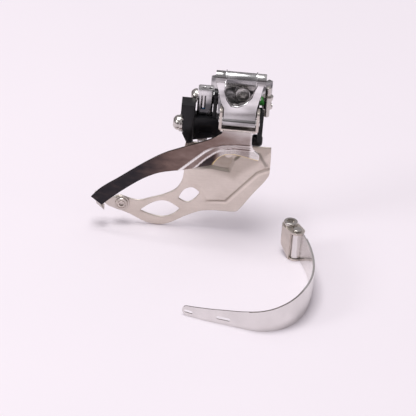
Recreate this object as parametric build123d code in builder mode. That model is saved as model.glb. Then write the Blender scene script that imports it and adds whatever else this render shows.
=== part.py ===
from build123d import *
import os
from math import atan2, cos, degrees, radians, sin

# Front derailleur for a bicycle, upright as mounted. X points forward, Y inboard and Z up.
# The origin is on the seat tube's axis, at the height of the clamp screw. "out" is the
# distance outboard of that axis (minus Y) and "up" is Z. All sizes are in millimetres.

os.makedirs("parts", exist_ok=True)

# ---- driving dimensions --------------------------------------------------------------
# fits
running = 0.05          # radial clearance of a pin or screw that turns in its hole
seat = 0.02             # radial clearance of a pin that is fixed in its hole
side_gap = 0.3          # gap beside a part that swings
eps = 0.2               # how far a cutting tool runs past a face

# seat tube and saddle
tube_d = 34.9
saddle_wall = 2.6
saddle_half_angle = 57.0
saddle_height = 12.0
pad_left, pad_right = -6.0, 8.0
pad_bottom, pad_top, pad_slant = 4.4, 13.0, 1.0
pad_depth = 3.0         # how far the pad reaches into the tube's circle before it is bored

# pivots
link_length = 26.8
link_lean = 2.1         # degrees that the links lean inboard at rest
upper_out, upper_up = 44.0, 23.6
inner_back, inner_drop = 13.0, 18.1
outer_pin_d = 4.0
inner_pin_d = 3.2
knuckle_d = 6.8
inner_eye_d = 6.4
barrel_left, barrel_right = -8.6, 7.4
washer_t, washer_d = 0.5, 8.2
knuckle_left_end, knuckle_right_end = -14.4, 12.8
lower_left, lower_right = -8.8, 9.0

# housing
body_left, body_right = -12.1, 7.6
body_bottom, body_top = -6.5, 16.0
body_front, body_back = 36.6, 27.0
lug_left, lug_right = -23.3, -14.9
lug_back, lug_front = 26.0, 32.0
lug_bottom, lug_top = -7.0, 8.1
clamp_out = 24.0
clamp_boss_d = 8.0
clamp_boss_right = 9.2

# screws
clamp_bolt_d = 5.0
clamp_head_d, clamp_head_h = 7.8, 3.9
anchor_bar_x = 14.6
anchor_bar_d, anchor_bar_length = 3.2, 18.6
anchor_boss_wall, anchor_boss_end = 0.5, 1.0     # metal beside and above the screw's bore
mount_x, mount_up = 0.95, 9.6
mount_screw_d, mount_head_d, mount_head_h = 4.0, 8.0, 2.6
mount_head_seat = 34.0
limit_screw_d = 3.0
limit_out = 29.6
limit_x = (-20.1, -16.7)
limit_tips = (-7.3, -6.4)

# outer link plate
link_back, link_front = 42.9, 46.2
lower_recess, lower_step = 1.3, 2.6     # depth and height of the step over the lower barrel

# cable arm
arm_left, arm_right = -24.0, -9.4
arm_back, arm_front = 27.0, 35.0
arm_top = -7.6
arm_bottom_left, arm_bottom_right = -21.5, -18.2
boss_left, boss_back, boss_front, boss_top = -30.2, 28.5, 38.0, 1.0
boss_step, boss_step_up = 1.5, -4.5
left_leg = (-14.6, -12.4)
right_leg = (10.6, 13.3)
right_crank = (8.0, 10.4)
leg_back, leg_front = 28.4, 33.4
crank_bottom, crank_top = -4.6, -1.6
bulb_d = 6.6
left_eye = (-13.9, -7.3)
bridge_back, bridge_front = 23.4, 26.4
bridge_bottom, bridge_top = -18.0, -12.0
anchor_out, anchor_up = 32.6, -12.9
anchor_d, anchor_head_d, anchor_head_h = 5.0, 8.3, 3.7
anchor_washer_d, anchor_washer_t = 9.7, 2.0
spring_wire, spring_r, spring_x = 1.1, 3.2, -21.6
spring_pitch, spring_turns = 1.3, 4

# cage
sheet = 1.2
bracket_left, bracket_right = -10.7, 10.9
bracket_sheet = 1.5
web_top = -7.2
ear_back, ear_front, ear_top = 39.0, 45.8, 4.3
wall_out = 34.0         # outboard face of the bracket's rear wall, against the inner plate
wall_half = 6.9
wall_bottom = -33.0
outer_plate_out = 46.0  # outboard face of the outer plate at the bracket
outer_tail_out = 43.6   # the same face at the tail
tail_x = -77.0
rivet_d = 2.6
rivet_x, rivet_up = (-4.0, 4.0), -28.0
tail_boss = (-60.2, -64.4)
tail_boss_d, tail_screw_d, tail_head_d = 9.0, 3.0, 7.0
floor_up = -76.8

# strap
strap_t = 0.7
strap_width = 17.5
strap_tip_width = 6.0
doubler_t = 0.4
strap_route = ((-22.0, -126.0), (-6.0, -131.6), (11.6, -135.6), (24.9, -136.6), (39.7, -123.0),
               (46.0, -100.0), (44.0, -76.0), (39.1, -59.5))
strip_steps = 9
doubler_start = 14.0           # x where the doubler starts on the tongue
doubler_end = 66.0             # and how far out it stops, short of the rolled eye
doubler_edge = 4.6             # height of the doubler's lower edge over the strap's
eye_x, eye_out, eye_d = 36.9, 58.1, 5.8
hinge_pin_d = 3.0
screw_x, screw_out = 33.1, 52.0
hook_t = 1.0
strap_screw_d, strap_head_d, strap_head_h = 4.0, 7.6, 2.2
strap_screw_length = 9.4
barrel_d, barrel_h = 6.0, 7.0
skirt_room = 0.8         # how far the hook's skirt stands outside the barrel's head
skirt_low = 8.0          # how much of the skirt's height is cut away at the screw
tongue_tip_x = -18.6
tongue_taper = ((26.0, 13.6), (8.0, 9.8))     # x and height of the tongue's upper edge
tongue_top_x = 42.0      # where the strap reaches its full width
slots = ((-18.2, 2.7, 4.6, 1.6), (0.6, 3.6, 7.6, 1.8))     # x, height, length, width

# ---- derived places ------------------------------------------------------------------
lean_out = link_length * sin(radians(link_lean))
lean_down = link_length * cos(radians(link_lean))
lower_out, lower_up = upper_out - lean_out, upper_up - lean_down
inner_out, inner_up = upper_out - inner_back, upper_up - inner_drop
inner_low_out, inner_low_up = inner_out - lean_out, inner_up - lean_down
web_bottom = web_top - bracket_sheet
saddle_r = tube_d / 2 + saddle_wall
inner_plate_out = wall_out + sheet
tab_room = hook_t + 0.5
strap_top = floor_up + strap_width
along = (Align.CENTER, Align.CENTER, Align.MIN)


def on_x(x, out, up):
    """Where a cylinder stands that runs forward along X from (x, out, up)."""
    return Locations(Location((x, -out, up), (0, 90, 0)))


def on_out(x, out, up):
    """Where a cylinder stands that runs outboard from (x, out, up)."""
    return Locations(Location((x, -out, up), (90, 0, 0)))


def finish(piece, name):
    """Label a finished piece and write it to its STEP file."""
    piece.label = name
    export_step(piece, f"parts/{name}.step")


# ---- clamp saddle --------------------------------------------------------------------
with BuildPart() as clamp_saddle:
    with BuildSketch(Plane.XY.offset(-saddle_height / 2)):
        with BuildLine():
            start, span = 270 - saddle_half_angle, 2 * saddle_half_angle
            inner_arc = CenterArc((0, 0), tube_d / 2, start, span)
            outer_arc = CenterArc((0, 0), saddle_r, start, span)
            Line(inner_arc @ 0, outer_arc @ 0)
            Line(inner_arc @ 1, outer_arc @ 1)
        make_face()
    extrude(amount=saddle_height)
    # pad for the mounting screw, above the clamp screw
    with BuildSketch(Plane.YZ.offset(pad_left)):
        with BuildLine():
            Polyline((-body_back, pad_bottom), (-body_back, pad_top),
                     (-saddle_r, pad_top - pad_slant), (-saddle_r, saddle_height / 2),
                     (-tube_d / 2 + pad_depth, saddle_height / 2),
                     (-tube_d / 2 + pad_depth, pad_bottom), close=True)
        make_face()
    extrude(amount=pad_right - pad_left)
    with Locations((0, 0, -saddle_height)):
        Cylinder(tube_d / 2, 4 * saddle_height, align=along, mode=Mode.SUBTRACT)
    with on_out(mount_x, tube_d / 2 - 2, mount_up):
        Cylinder(mount_screw_d / 2 + seat, body_back, align=along, mode=Mode.SUBTRACT)
finish(clamp_saddle.part, "clamp_saddle")

# ---- housing -------------------------------------------------------------------------
with BuildPart() as housing:
    # main block, behind the outer link
    with BuildSketch(Plane.YZ.offset(body_left)):
        with BuildLine():
            Polyline((-17, body_bottom), (-33, body_bottom), (-body_front, -3.0),
                     (-body_front, 13.5), (-33.5, body_top), (-body_back, body_top - 2),
                     (-body_back, 4.2), (-17, 4.2), close=True)
        make_face()
    extrude(amount=body_right - body_left)
    # arm that carries the upper barrel
    with BuildSketch(Plane.YZ.offset(barrel_left)):
        with BuildLine():
            Polyline((-29, 12.5), (-body_front, 12.5), (-(upper_out - 2.4), upper_up - 2.4),
                     (-upper_out, upper_up), (-(upper_out - 1.5), upper_up + 3.0),
                     (-34, 20.4), (-30, 15.5), close=True)
        make_face()
    extrude(amount=barrel_right - barrel_left)
    with on_x(barrel_left, upper_out, upper_up):
        Cylinder(knuckle_d / 2, barrel_right - barrel_left, align=along)
    # lug for the limit screws and the boss for the clamp screw
    with BuildSketch(Plane.XY.offset(lug_bottom)):
        with Locations(((lug_left + lug_right) / 2, -(lug_back + lug_front) / 2)):
            RectangleRounded(lug_right - lug_left, lug_front - lug_back, 1.2)
    extrude(amount=lug_top - lug_bottom)
    with on_x(lug_left, clamp_out, 0):
        Cylinder(clamp_boss_d / 2, clamp_boss_right - lug_left, align=along)
    # windows in the lug's face that show the limit screws
    with Locations((limit_x[0], -lug_front, 0.4)):
        Box(2.6, 3.2, 8.4, mode=Mode.SUBTRACT)
    # room for the tube's saddle
    with Locations((0, 0, -40)):
        Cylinder(saddle_r + seat, 80, align=along, mode=Mode.SUBTRACT)
    # bores
    with on_x(lug_left - eps, clamp_out, 0):
        Cylinder(clamp_bolt_d / 2 + running, 60, align=along, mode=Mode.SUBTRACT)
    with on_x(barrel_left - eps, upper_out, upper_up):
        Cylinder(outer_pin_d / 2 + seat, 40, align=along, mode=Mode.SUBTRACT)
    with on_x(body_left - eps, inner_out, inner_up):
        Cylinder(inner_pin_d / 2 + seat, 40, align=along, mode=Mode.SUBTRACT)
    with on_out(mount_x, body_back - eps, mount_up):
        Cylinder(mount_screw_d / 2 + seat, 20, align=along, mode=Mode.SUBTRACT)
    with on_out(mount_x, mount_head_seat, mount_up):
        Cylinder(mount_head_d / 2 + 0.4, 20, align=along, mode=Mode.SUBTRACT)
    # arched recess beside the screw head
    with BuildSketch(Plane.XZ.offset(mount_head_seat + 0.5)):
        with BuildLine():
            Line((-8.2, 8.6), (mount_x, 8.6))
            Line((mount_x, 8.6), (mount_x, 15.0))
            ThreePointArc((mount_x, 15.0), (-4.4, 14.4), (-8.2, 12.4))
            Line((-8.2, 12.4), (-8.2, 8.6))
        make_face()
    extrude(amount=6, mode=Mode.SUBTRACT)
    for x in limit_x:
        with Locations((x, -limit_out, lug_bottom - eps)):
            Cylinder(limit_screw_d / 2 + running, 20, align=along, mode=Mode.SUBTRACT)
finish(housing.part, "housing")

# ---- fixed pins and washers ----------------------------------------------------------
with BuildPart() as upper_pivot_pin:
    with on_x(knuckle_left_end, upper_out, upper_up):
        Cylinder(outer_pin_d / 2, knuckle_right_end - knuckle_left_end, align=along)
    chamfer(upper_pivot_pin.edges().filter_by(GeomType.CIRCLE), 0.3)
finish(upper_pivot_pin.part, "upper_pivot_pin")

with BuildPart() as pivot_washers:
    for x in (barrel_left - washer_t, barrel_right):
        with on_x(x, upper_out, upper_up):
            Cylinder(washer_d / 2, washer_t, align=along)
    with on_x(barrel_left - 2, upper_out, upper_up):
        Cylinder(outer_pin_d / 2 + running, 30, align=along, mode=Mode.SUBTRACT)
finish(pivot_washers.part, "pivot_washers")

with BuildPart() as inner_pivot_pin:
    with on_x(left_leg[0], inner_out, inner_up):
        Cylinder(inner_pin_d / 2, right_crank[1] - left_leg[0] + 0.5, align=along)
    chamfer(inner_pivot_pin.edges().filter_by(GeomType.CIRCLE), 0.25)
finish(inner_pivot_pin.part, "inner_pivot_pin")

# ---- mounting screw ------------------------------------------------------------------
with BuildPart() as mount_screw:
    with on_out(mount_x, tube_d / 2 + 1, mount_up):
        Cylinder(mount_screw_d / 2, mount_head_seat - tube_d / 2 - 1, align=along)
    with on_out(mount_x, mount_head_seat, mount_up):
        Cylinder(mount_head_d / 2, mount_head_h, align=along)
    fillet(mount_screw.faces().sort_by(Axis.Y)[0].edges(), 0.6)
    # six-lobed socket
    with BuildSketch(Plane.XZ.offset(mount_head_seat + mount_head_h)):
        with Locations((mount_x, mount_up)):
            Circle(1.75)
            with PolarLocations(1.85, 6):
                Circle(0.42)
    extrude(amount=-1.8, mode=Mode.SUBTRACT)
finish(mount_screw.part, "mount_screw")


# ---- limit screws --------------------------------------------------------------------
for x, limit_tip, name in zip(limit_x, limit_tips, ("low_limit_screw", "high_limit_screw")):
    with BuildPart() as limit_screw:
        with Locations((x, -limit_out, limit_tip)):
            Cylinder(limit_screw_d / 2, lug_top - limit_tip, align=along)
        chamfer(limit_screw.edges().filter_by(GeomType.CIRCLE), 0.3)
        with BuildSketch(Plane.XY.offset(lug_top)):
            with Locations((x, -limit_out)):
                RegularPolygon(0.9, 6)
        extrude(amount=-1.5, mode=Mode.SUBTRACT)
    finish(limit_screw.part, name)


# ---- clamp screw and its anchor bar --------------------------------------------------
with BuildPart() as clamp_bolt:
    with on_x(lug_left, clamp_out, 0):
        Cylinder(clamp_bolt_d / 2, anchor_bar_x + (clamp_bolt_d - 1) / 2 - lug_left, align=along)
    # domed head
    with BuildSketch(Plane.XY):
        with BuildLine():
            crown = (lug_left - side_gap - clamp_head_h, -clamp_out)
            rim = (lug_left - side_gap, -clamp_out - clamp_head_d / 2)
            Polyline(crown, (rim[0], -clamp_out), rim, (rim[0] - 1.2, rim[1]))
            ThreePointArc((rim[0] - 1.2, rim[1]), (crown[0] + 0.6, rim[1] + 1.5), crown)
        make_face()
    revolve(axis=Axis((0, -clamp_out, 0), (1, 0, 0)))
    with on_x(lug_left - side_gap, clamp_out, 0):
        Cylinder(clamp_bolt_d / 2, side_gap, align=along)
    with BuildSketch(Plane.YZ.offset(crown[0] - 0.1)):
        with Locations((-clamp_out, 0)):
            RegularPolygon(2.3, 6)
    extrude(amount=2.4, mode=Mode.SUBTRACT)
finish(clamp_bolt.part, "clamp_bolt")

with BuildPart() as anchor_bar:
    with Locations((anchor_bar_x, -clamp_out, -anchor_bar_length / 2)):
        Cylinder(anchor_bar_d / 2, anchor_bar_length, align=along)
    chamfer(anchor_bar.edges().filter_by(GeomType.CIRCLE), 0.6)
    with Locations((anchor_bar_x, -clamp_out, 0)):
        Cylinder(clamp_bolt_d / 2 + anchor_boss_wall, clamp_bolt_d + 2 * anchor_boss_end)
    with on_x(anchor_bar_x - 5, clamp_out, 0):
        Cylinder(clamp_bolt_d / 2 + running, 10, align=along, mode=Mode.SUBTRACT)
finish(anchor_bar.part, "anchor_bar")

# ---- outer link ----------------------------------------------------------------------
with BuildPart() as outer_link:
    with BuildSketch(Plane.XZ.offset(link_back)):
        with BuildLine():
            Polyline((knuckle_left_end, upper_up), (knuckle_left_end, 21.0), (-12.6, 15.8),
                     (-10.8, 8.6), (lower_left, 5.4), (lower_left, lower_up),
                     (lower_right, lower_up), (lower_right, 6.6), (9.8, 11.0), (11.4, 19.6),
                     (knuckle_right_end, upper_up), close=True)
        make_face()
        with BuildLine():
            Polyline((-9.2, 24), (-9.2, 15.2), (-7.5, 11.0), (-4.8, 7.4), (-1.5, 7.2),
                     (2.2, 9.0), (5.6, 13.2), (8.0, 20), (8.0, 24), close=True)
        make_face(mode=Mode.SUBTRACT)
    extrude(amount=link_front - link_back)
    fillet(outer_link.faces().sort_by(Axis.Y)[0].edges().filter_by(Axis.X, reverse=True), 0.9)
    for x_from, x_to in ((knuckle_left_end, barrel_left - washer_t - 0.12),
                         (barrel_right + washer_t + 0.12, knuckle_right_end)):
        with on_x(x_from, upper_out, upper_up):
            Cylinder(knuckle_d / 2, x_to - x_from, align=along)
    # the lower barrel stands out below the plate
    with Locations(((lower_left + lower_right) / 2, -(link_front - lower_recess), lower_up - 1)):
        Box(lower_right - lower_left, 4, lower_step + 1,
            align=(Align.CENTER, Align.MAX, Align.MIN), mode=Mode.SUBTRACT)
    with on_x(lower_left, lower_out, lower_up):
        Cylinder(knuckle_d / 2 - 0.15, lower_right - lower_left, align=along)
    # room for the fixed barrel and its washers
    with on_x(barrel_left - washer_t - 0.12, upper_out, upper_up):
        Cylinder(washer_d / 2 + side_gap, barrel_right - barrel_left + 2 * (washer_t + 0.12),
                 align=along, mode=Mode.SUBTRACT)
    with on_x(knuckle_left_end - eps, upper_out, upper_up):
        Cylinder(outer_pin_d / 2 + running, 40, align=along, mode=Mode.SUBTRACT)
    with on_x(lower_left - eps, lower_out, lower_up):
        Cylinder(outer_pin_d / 2 + running, 40, align=along, mode=Mode.SUBTRACT)
finish(outer_link.part, "outer_link")

# ---- cable arm (the inner link) ------------------------------------------------------
with BuildPart() as bulb:
    with on_x(right_leg[0] - bulb_d / 2, inner_low_out, inner_low_up):
        Cylinder(bulb_d / 2, bulb_d, align=along)
    fillet(bulb.edges().filter_by(GeomType.CIRCLE), bulb_d / 3)

with BuildPart() as cable_arm:
    # body under the lug
    with BuildSketch(Plane.XZ.offset(arm_back)):
        with BuildLine():
            Polyline((arm_left, arm_top), (left_leg[1], arm_top), (arm_right, arm_top - 2.4),
                     (arm_right, arm_bottom_right), (arm_left, arm_bottom_left), close=True)
        make_face()
    extrude(amount=arm_front - arm_back)
    # tall boss that carries the cable anchor
    with BuildSketch(Plane.XZ.offset(boss_back)):
        with BuildLine():
            Polyline((boss_left - boss_step, boss_top), (arm_left, boss_top),
                     (arm_left, arm_bottom_left), (boss_left + 3.0, arm_bottom_left - 1.0),
                     (boss_left, arm_bottom_left + 5.0), (boss_left, boss_step_up - boss_step),
                     (boss_left - boss_step, boss_step_up), close=True)
        make_face()
    extrude(amount=boss_front - boss_back)
    fillet(cable_arm.edges().filter_by(Axis.Z).group_by(Axis.Y)[0].sort_by(Axis.X)[-1], 1.6)
    # legs up to the inner pivot
    with BuildSketch(Plane.YZ.offset(left_leg[0])):
        with BuildLine():
            Polyline((-leg_back, arm_top - 2), (-leg_front, arm_top - 2),
                     (-(inner_out + 2.4), inner_up), (-(inner_out - 2.4), inner_up), close=True)
        make_face()
    extrude(amount=left_leg[1] - left_leg[0])
    for x_from, x_to in (left_leg, right_crank):
        with on_x(x_from, inner_out, inner_up):
            Cylinder(inner_eye_d / 2, x_to - x_from, align=along)
    with BuildSketch(Plane.XZ.offset(leg_back)):
        with BuildLine():
            Polyline((right_crank[0], inner_up), (right_crank[0], crank_bottom),
                     (right_leg[0], crank_bottom - 2.0), (right_leg[0], inner_low_up),
                     (right_leg[1], inner_low_up), (right_leg[1], crank_top - 1.5),
                     (right_leg[1] - 1.5, crank_top), (right_crank[1], crank_top),
                     (right_crank[1], inner_up), close=True)
        make_face()
    extrude(amount=leg_front - leg_back)
    # bridge between the two sides, behind the cage's pivot lugs
    with BuildSketch(Plane.YZ.offset(left_eye[0])):
        with BuildLine():
            Polyline((-bridge_back, bridge_bottom), (-bridge_front, bridge_bottom),
                     (-bridge_front, bridge_top), (-bridge_back, bridge_top), close=True)
        make_face()
    extrude(amount=right_leg[1] - left_eye[0])
    with Locations(((right_leg[0] + right_leg[1]) / 2, -(bridge_back + leg_front - 1) / 2,
                    (bridge_bottom + bridge_top) / 2)):
        Box(right_leg[1] - right_leg[0], leg_front - 1 - bridge_back, bridge_top - bridge_bottom)
    with Locations(((left_eye[0] + arm_right) / 2, -(bridge_back + arm_front - 2) / 2,
                    (bridge_bottom + bridge_top) / 2)):
        Box(arm_right - left_eye[0], arm_front - 2 - bridge_back, bridge_top - bridge_bottom)
    # lower eyes
    with on_x(left_eye[0], inner_low_out, inner_low_up):
        Cylinder(inner_eye_d / 2, left_eye[1] - left_eye[0], align=along)
    add(bulb.part)
    # pocket for the return spring
    with on_x(arm_left + 1.5, inner_low_out, inner_low_up):
        Cylinder(4.2, left_eye[0] - arm_left - 1.5 - 0.7, align=along, mode=Mode.SUBTRACT)
    with Locations((-17.6, -arm_front, -14.6)):
        Box(7.2, 2.6, 5.0, mode=Mode.SUBTRACT)
    # bores
    with on_x(left_leg[0] - 1, inner_out, inner_up):
        Cylinder(inner_pin_d / 2 + running, 40, align=along, mode=Mode.SUBTRACT)
    with on_x(left_eye[0] - 8.6, inner_low_out, inner_low_up):
        Cylinder(inner_pin_d / 2 + running, 50, align=along, mode=Mode.SUBTRACT)
    with on_x(boss_left - eps, anchor_out, anchor_up):
        Cylinder(anchor_d / 2 + seat, 5.8, align=along, mode=Mode.SUBTRACT)
finish(cable_arm.part, "cable_arm")

with BuildPart() as cable_anchor_washer:
    with on_x(boss_left - anchor_washer_t, anchor_out, anchor_up):
        Cylinder(anchor_washer_d / 2, anchor_washer_t, align=along)
        Cylinder(anchor_d / 2 + seat, 3, align=along, mode=Mode.SUBTRACT)
    chamfer(cable_anchor_washer.edges().filter_by(GeomType.CIRCLE).group_by(SortBy.RADIUS)[-1], 0.3)
    # groove that traps the cable
    with Locations((boss_left, -(anchor_out + 3.4), anchor_up)):
        Box(1.2, 1.4, 12, mode=Mode.SUBTRACT)
finish(cable_anchor_washer.part, "cable_anchor_washer")

with BuildPart() as cable_anchor_bolt:
    head_face = boss_left - anchor_washer_t
    with on_x(head_face, anchor_out, anchor_up):
        Cylinder(anchor_d / 2, anchor_washer_t + 5.0, align=along)
    with BuildSketch(Plane.XY.offset(anchor_up)):
        with BuildLine():
            crown = (head_face - anchor_head_h, -anchor_out)
            rim_y = -anchor_out - anchor_head_d / 2
            Polyline(crown, (head_face, -anchor_out), (head_face, rim_y), (head_face - 1.1, rim_y))
            ThreePointArc((head_face - 1.1, rim_y), (crown[0] + 0.6, rim_y + 1.6), crown)
        make_face()
    revolve(axis=Axis((0, -anchor_out, anchor_up), (1, 0, 0)))
    with BuildSketch(Plane.YZ.offset(crown[0] - 0.1)):
        with Locations((-anchor_out, anchor_up)):
            RegularPolygon(2.3, 6)
    extrude(amount=2.3, mode=Mode.SUBTRACT)
finish(cable_anchor_bolt.part, "cable_anchor_bolt")

# ---- return spring, round the lower inner pivot --------------------------------------
with BuildPart() as return_spring:
    with BuildLine() as coil_path:
        Helix(pitch=spring_pitch, height=spring_pitch * spring_turns, radius=spring_r,
              center=(spring_x, -inner_low_out, inner_low_up),
              direction=(1, 0, 0))
    with BuildSketch(Plane(coil_path.line @ 0, z_dir=coil_path.line % 0)):
        Circle(spring_wire / 2)
    sweep(path=coil_path.line)
finish(return_spring.part, "return_spring")

# ---- cage: bracket, plates and their fasteners ---------------------------------------
with BuildPart() as cage_bracket:
    # ears on each side of the outer link
    for x in (bracket_left, bracket_right - bracket_sheet):
        with BuildSketch(Plane.YZ.offset(x)):
            with Locations((-(ear_back + ear_front) / 2, (ear_top + web_bottom) / 2)):
                RectangleRounded(ear_front - ear_back, ear_top - web_bottom, 2.4)
        extrude(amount=bracket_sheet)
    # web under the lower barrel, then the rear wall
    with BuildSketch(Plane.XY.offset(web_bottom)):
        with BuildLine():
            Polyline((-wall_half, -wall_out + sheet), (-wall_half, -ear_back - 1),
                     (bracket_left + 0.2, -ear_back - 1.6), (bracket_left + 0.2, -ear_front + 1.6),
                     (bracket_left + 1.6, -ear_front), (bracket_right - 1.6, -ear_front),
                     (bracket_right - 0.2, -ear_front + 1.6), (bracket_right - 0.2, -ear_back - 1.6),
                     (wall_half, -ear_back - 1), (wall_half, -wall_out + sheet), close=True)
        make_face()
    extrude(amount=bracket_sheet)
    with BuildSketch(Plane.XZ.offset(wall_out - sheet)):
        with Locations((0, (web_top + wall_bottom) / 2)):
            Rectangle(2 * wall_half, web_top - wall_bottom)
    extrude(amount=sheet)
    # lugs for the lower inner pivot
    for x in (-wall_half, wall_half - bracket_sheet):
        with BuildSketch(Plane.YZ.offset(x)):
            with BuildLine():
                Polyline((-wall_out + 0.2, -12.0), (-inner_low_out + 2, inner_low_up + 2.6),
                         (-inner_low_out + 2, inner_low_up - 2.6),
                         (-wall_out + 0.2, inner_low_up - 5), close=True)
            make_face()
            with Locations((-inner_low_out, inner_low_up)):
                Circle(inner_eye_d / 2)
        extrude(amount=bracket_sheet)
    with on_x(bracket_left - eps, lower_out, lower_up):
        Cylinder(outer_pin_d / 2 + seat, 40, align=along, mode=Mode.SUBTRACT)
    with on_x(-wall_half - eps, inner_low_out, inner_low_up):
        Cylinder(inner_pin_d / 2 + seat, 40, align=along, mode=Mode.SUBTRACT)
    for x in rivet_x:
        with on_out(x, wall_out - 5, rivet_up):
            Cylinder(rivet_d / 2 + seat, 20, align=along, mode=Mode.SUBTRACT)
finish(cage_bracket.part, "cage_bracket")

with BuildPart() as lower_pivot_pin:
    with on_x(bracket_left - 0.4, lower_out, lower_up):
        Cylinder(outer_pin_d / 2, bracket_right - bracket_left + 0.8, align=along)
    chamfer(lower_pivot_pin.edges().filter_by(GeomType.CIRCLE), 0.3)
finish(lower_pivot_pin.part, "lower_pivot_pin")

with BuildPart() as cage_pivot_pin:
    with on_x(left_eye[0], inner_low_out, inner_low_up):
        Cylinder(inner_pin_d / 2, right_leg[0] + bulb_d / 2 - 1 - left_eye[0], align=along)
    chamfer(cage_pivot_pin.edges().filter_by(GeomType.CIRCLE), 0.25)
finish(cage_pivot_pin.part, "cage_pivot_pin")

# outer plate: its outline seen from the side, kept within a thin band curved in plan
with BuildPart() as outer_cage_plate:
    with BuildSketch(Plane.XZ.offset(outer_tail_out - 4)):
        with BuildLine():
            upper = Spline((-8.4, -9.6), (-17.4, -15.7), (-38.9, -25.6), (-62.2, -43.6), (tail_x, -58.0))
            Line(upper @ 1, (-70.8, -62.4))
            lower = Spline((-70.8, -62.4), (-56.3, -48.6), (-41.1, -38.4), (-27.1, -35.0))
            Line(lower @ 1, (-12.2, -31.3))
            ThreePointArc((-12.2, -31.3), (-7.4, -25.4), (-1.0, -23.8))
            Polyline((-1.0, -23.8), (12.4, -26.4), (13.0, -21.6), (8.0, -17.0), (8.0, web_bottom),
                     (-8.4, web_bottom), (-8.4, -9.6))
        make_face()
    extrude(amount=outer_plate_out - outer_tail_out + 8)
    with BuildSketch(Plane.XY.offset(floor_up), mode=Mode.PRIVATE) as plan:
        with BuildLine():
            face = Spline((20, -outer_plate_out), (-30, -outer_plate_out),
                          (-55, -(outer_plate_out + outer_tail_out) / 2 - 0.5),
                          (tail_x - 3, -outer_tail_out))
            back = Spline((20, -outer_plate_out + sheet), (-30, -outer_plate_out + sheet),
                          (-55, -(outer_plate_out + outer_tail_out) / 2 - 0.5 + sheet),
                          (tail_x - 3, -outer_tail_out + sheet))
            Line(face @ 0, back @ 0)
            Line(face @ 1, back @ 1)
        make_face()
    extrude(plan.sketch, amount=100, mode=Mode.INTERSECT)
    # tail bridge that comes inboard to the inner plate, and its lug
    with BuildSketch(Plane.XZ.offset(inner_plate_out)):
        with BuildLine():
            Polyline((tail_x + 1.6, -58.4), (-71.4, -62.4), (-69.2, -66.8), (tail_x + 3.4, -62.6),
                     close=True)
        make_face()
    extrude(amount=outer_tail_out - sheet - inner_plate_out + 0.6)
    with BuildSketch(Plane.XZ.offset(inner_plate_out)):
        with Locations(tail_boss):
            Circle(tail_boss_d / 2)
        with BuildLine():
            Polyline((tail_x + 1.6, -58.4), tail_boss, (tail_boss[0] - 1, tail_boss[1] - 4.4),
                     (tail_x + 3.4, -62.6), close=True)
        make_face()
    extrude(amount=sheet)
    with on_out(tail_boss[0], inner_plate_out - 1, tail_boss[1]):
        Cylinder(tail_screw_d / 2 + seat, 10, align=along, mode=Mode.SUBTRACT)
finish(outer_cage_plate.part, "outer_cage_plate")

with BuildPart() as inner_cage_plate:
    with BuildSketch(Plane.XZ.offset(wall_out)):
        with BuildLine():
            Polyline((18.9, -22.6), (19.3, -36.0), (18.9, -40.7), (3.3, -64.3), (-4.0, -64.6),
                     (-16.8, -65.6), (-25.1, -69.9), (-33.4, -75.3))
            ThreePointArc((-33.4, -75.3), (-39.1, -76.6), (-46.1, -75.9))
            Polyline((-46.1, -75.9), (-55.1, -71.5), (-61.0, -69.3))
            ThreePointArc((-61.0, -69.3), (-65.3, -65.0), (-61.4, -60.0))
            Polyline((-61.4, -60.0), (-55.0, -61.5), (-52.5, -62.6), (-37.0, -56.5))
            ThreePointArc((-37.0, -56.5), (-30.2, -52.0), (-27.4, -42.2))
            Polyline((-27.4, -42.2), (-28.4, -27.1), (-27.7, -22.9), (18.9, -22.6))
        make_face()
        # two windows in the tail
        with BuildLine():
            Line((-49.7, -68.3), (-38.3, -61.1))
            Line((-38.3, -61.1), (-28.0, -65.6))
            ThreePointArc((-28.0, -65.6), (-37.5, -71.3), (-49.7, -68.3))
        make_face(mode=Mode.SUBTRACT)
        with BuildLine():
            Polyline((-29.4, -58.5), (-26.9, -53.6), (-22.3, -51.3), (-17.7, -54.1), (-24.0, -60.7),
                     close=True)
        make_face(mode=Mode.SUBTRACT)
    extrude(amount=sheet)
    # pressed rib that stiffens the front of the plate
    with BuildSketch(Plane.XZ.offset(inner_plate_out)):
        with BuildLine():
            Polyline((-18, -57.0), (-4, -57.4), (13.5, -37.2), (17.0, -35.6), (17.0, -39.6),
                     (15.4, -41.2), (-1, -61.6), (-14.5, -61.0), close=True)
        make_face()
    extrude(amount=0.7)
    # top flange that bridges across to the outer plate
    with BuildSketch(Plane.YZ.offset(8.6)):
        with BuildLine():
            Polyline((-wall_out, -22.6), (-inner_plate_out, -24.0),
                     (-(outer_plate_out - sheet - 0.02), -24.8),
                     (-(outer_plate_out - sheet - 0.02), -23.6), (-wall_out, -21.2), close=True)
        make_face()
    extrude(amount=10.3)
    for x in rivet_x:
        with on_out(x, wall_out - 1, rivet_up):
            Cylinder(rivet_d / 2 + seat, 10, align=along, mode=Mode.SUBTRACT)
    with on_out(tail_boss[0], wall_out - 1, tail_boss[1]):
        Cylinder(tail_screw_d / 2 + seat, 10, align=along, mode=Mode.SUBTRACT)
finish(inner_cage_plate.part, "inner_cage_plate")

with BuildPart() as cage_rivets:
    for x in rivet_x:
        with on_out(x, wall_out - sheet - 0.8, rivet_up):
            Cylinder(rivet_d / 2 + 0.9, 0.8, align=along)
            Cylinder(rivet_d / 2, 2 * sheet + 1.6, align=along)
        with on_out(x, inner_plate_out, rivet_up):
            Cylinder(rivet_d / 2 + 0.9, 0.8, align=along)
finish(cage_rivets.part, "cage_rivets")

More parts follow.
